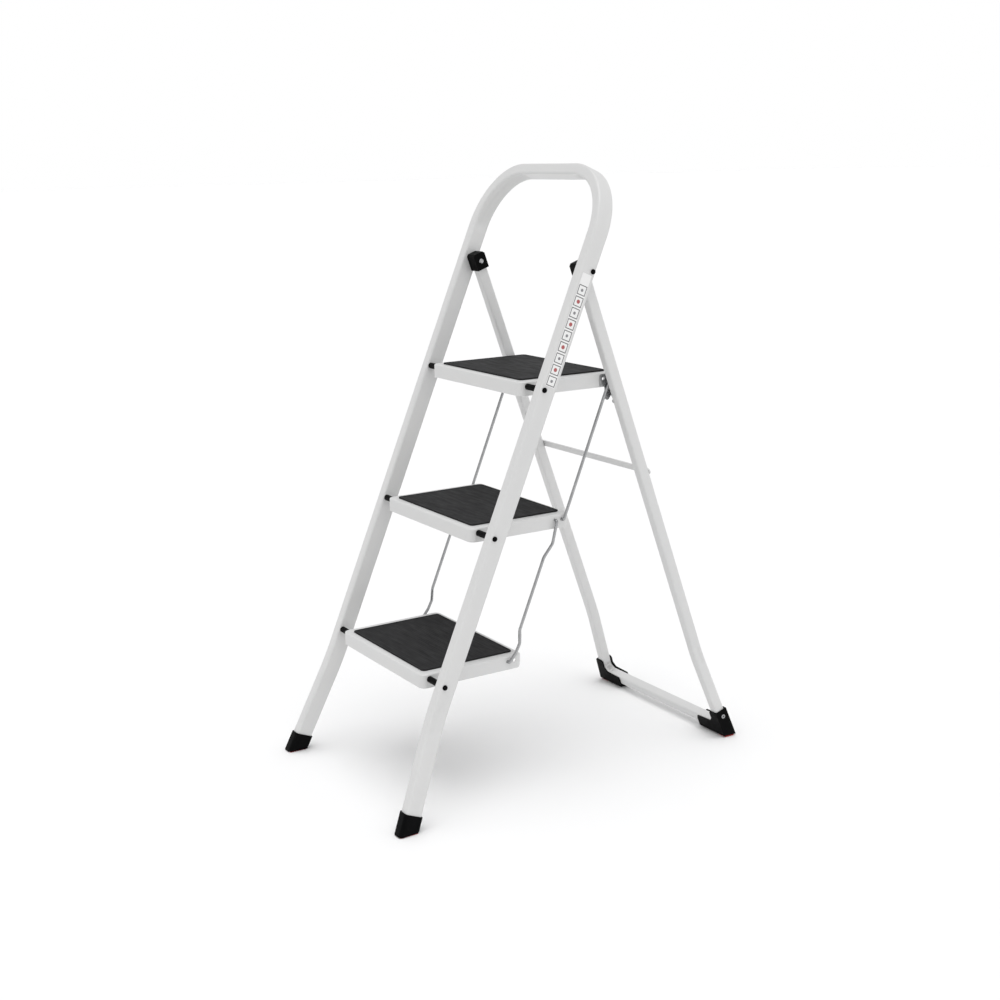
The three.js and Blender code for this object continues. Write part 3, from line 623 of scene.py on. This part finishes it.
def tie(name, start, end, hole, bends):
    a = Vector((TIE_X, start[0] + hole[0], start[1] + hole[1]))
    b = Vector((TIE_X, end[0] + hole[0], end[1] + hole[1]))
    d, size = (b - a).normalized(), (b - a).length
    n = Vector((0, d.z, -d.y))
    n = n if n.y > 0 else -n
    mid = [a + d * (size + s if s < 0 else s) + n * off + Vector((dx, 0, 0)) for s, off, dx in bends]
    inside = Vector((TRAY[1] - TIE_X - 6, 0, 0))
    return wire(name, filleted([a + inside, a, *mid, b, b + inside], 3.6), TIE_D, BASE)


both(lambda n: tie(n, PIVOTS["top"], PIVOTS["middle"], TIE_REAR, [(26, -2, 0), (-14, 0, 0)]), "upper_tie_rod")
both(lambda n: tie(n, PIVOTS["middle"], PIVOTS["bottom"], TIE_FRONT, [(40, 6.5, 0), (68, -1, -1.5), (-60, -0.5, -1.5), (-38, 7.5, 0), (-20, 6, 0)]), "lower_tie_rod")

# ---- rear frame ------------------------------------------------------------------------------------------------------
half = REAR_SPLAY_R * REAR_SPLAY / 2
corner_x = LEG_X + (BAR_AT - REAR_SPLAY_AT) * math.tan(REAR_SPLAY)
turn = math.pi / 2 + REAR_SPLAY
cx, cz = corner_x - REAR_CORNER_R * math.tan(turn / 2), -BAR_AT + REAR_CORNER_R
splay = [(LEG_X + REAR_SPLAY_R - REAR_SPLAY_R * math.cos(a), -(REAR_SPLAY_AT - half) - REAR_SPLAY_R * math.sin(a)) for a in (REAR_SPLAY * i / 20 for i in range(21))]
corner = arc(cx, cz, REAR_CORNER_R, REAR_SPLAY, REAR_SPLAY - turn, 40)
side = line((LEG_X, 9.0), (LEG_X, splay[0][1] + 24), 20) + line((LEG_X, splay[0][1] + 24), splay[0], 8) + splay
l0 = sum(math.dist(a, b) for a, b in zip(thin(side), thin(side)[1:]))
near = (corner[0][0] - 16 * math.sin(REAR_SPLAY), corner[0][1] + 16 * math.cos(REAR_SPLAY))
side += line(splay[-1], near, 14) + line(near, corner[0], 8) + corner
l1 = sum(math.dist(a, b) for a, b in zip(thin(side), thin(side)[1:]))
side += line(corner[-1], (corner[-1][0] - 16, corner[-1][1]), 8) + line((corner[-1][0] - 16, corner[-1][1]), (0, corner[-1][1]), 8) + [(0.0, corner[-1][1])]
whole = thin(side + [(-x, z) for x, z in reversed(side)])
total = sum(math.dist(a, b) for a, b in zip(whole, whole[1:]))
dents = []
for a, b, fade, s, amount, ripple in ((l0 - REAR_SPLAY_R * REAR_SPLAY, l0, 12, 1, 1.8, 0.0), (l1 - REAR_CORNER_R * turn, l1, 5, -1, 5.4, 0.5)):
    dents += [(a, b, fade, -s, amount, ripple), (total - b, total - a, fade, -s, amount, ripple)]
stand_for(tube("rear_frame_tube_fine", whole, LEG_W, LEG_D, LEG_R, 0.0, dents, REAR), "rear_frame_tube")

for s in ("left", "right"):
    stand_for(refined("rear_leg_cap_" + s, 0.9, 3), "rear_leg_cap_" + s)
    stand_for(refined("rear_foot_" + s, 0.55, 2), "rear_foot_" + s)
    stand_for(refined("rear_sole_" + s, 0.2), "rear_sole_" + s)

brace_n = LEG_D / 2 + GAP
o = skin("rear_brace_fine", [[Vector((x, n, z - BRACE_AT)) for x, z in rounded_rect(-BRACE_HALF, BRACE_HALF, -BRACE_H / 2, BRACE_H / 2, 5, 10, 6)] for n in (brace_n, brace_n + BRACE_T)], REAR, 25)
stand_for(bevelled(o, 0.5, 3, 50), "rear_brace")
along_n = Matrix.Rotation(math.pi / 2, 4, "Z")
both(lambda n: lathe(n, [(0, 0), (0, 2.4), (13.5, 2.4), (13.5, 4.8), (13.7, 5.0), (14.2, 4.9), (14.9, 4.4), (15.5, 3.3), (15.9, 1.8), (16, 0)], at(LEG_X, 0, -BRACE_AT, REAR) @ along_n), "brace_rivet")
both(lambda n: lathe(n, [(150.5, 0), (150.5, 3.5), (151, 4), (156.7, 4), (156.7, 4.5), (157.0, 4.8), (158.9, 4.8), (159.2, 4.5), (159.2, 4), (167.5, 4), (167.5, 0)], at(0, PIN.y, PIN.z)), "support_pin")
rx = LEG_X + LEG_W / 2 + (912 - REAR_SPLAY_AT) * math.tan(REAR_SPLAY) + 2.9 + GAP
both(lambda n: lathe(n, [(-9, 0), (-9, 2.2), (0, 2.2), (0, 4.0), (0.2, 4.2), (0.7, 4.1), (1.15, 3.6), (1.35, 2.8), (1.3, 2.0), (1.0, 1.7), (-1.5, 1.5), (-1.5, 0)], at(rx, 0, -912, REAR) @ Matrix.Rotation(-REAR_SPLAY, 4, "Y")), "rear_foot_rivet")

# ---- floor and light -------------------------------------------------------------------------------------------------
floor = build("floor", [(-60000, -60000, 0), (60000, -60000, 0), (60000, 60000, 0), (-60000, 60000, 0)], [(0, 1, 2, 3)], Matrix.Identity(4))
m = Nodes("pale_floor", (0.94, 0.94, 0.94), 0.7)
m.rough(m.noise(3, 2), 0.3, 0.7, 0.66, 0.74)
floor.data.materials.append(m.mat)

world = bpy.data.worlds.new("studio")
bpy.context.scene.world = world
world.use_nodes = True
nt = world.node_tree
shade = nt.nodes["Background"]
coord = nt.nodes.new("ShaderNodeTexCoord")
split = nt.nodes.new("ShaderNodeSeparateXYZ")
ramp = nt.nodes.new("ShaderNodeValToRGB")
nt.links.new(coord.outputs["Generated"], split.inputs[0])
nt.links.new(split.outputs["Z"], ramp.inputs["Fac"])
nt.links.new(ramp.outputs["Color"], shade.inputs["Color"])
ramp.color_ramp.elements[0].position, ramp.color_ramp.elements[1].position = 0.10, 0.38
ramp.color_ramp.elements[0].color, ramp.color_ramp.elements[1].color = (1, 1, 1, 1), (0.66, 0.66, 0.665, 1)
shade.inputs["Strength"].default_value = 1.0


def sun(name, towards, strength, angle):
    """A wide, soft light from a direction, the same all over the floor."""
    light = bpy.data.lights.new(name, "SUN")
    light.energy, light.angle = strength, rad(angle)
    o = bpy.data.objects.new(name, light)
    bpy.context.scene.collection.objects.link(o)
    o.rotation_mode = "QUATERNION"
    o.rotation_quaternion = Vector(towards).to_track_quat("Z", "Y")


sun("overhead", (0.12, -0.06, 1.0), 1.3, 50)
sun("side", (1.0, 0.15, 0.35), 0.12, 40)
bpy.context.scene.view_settings.view_transform = "Standard"
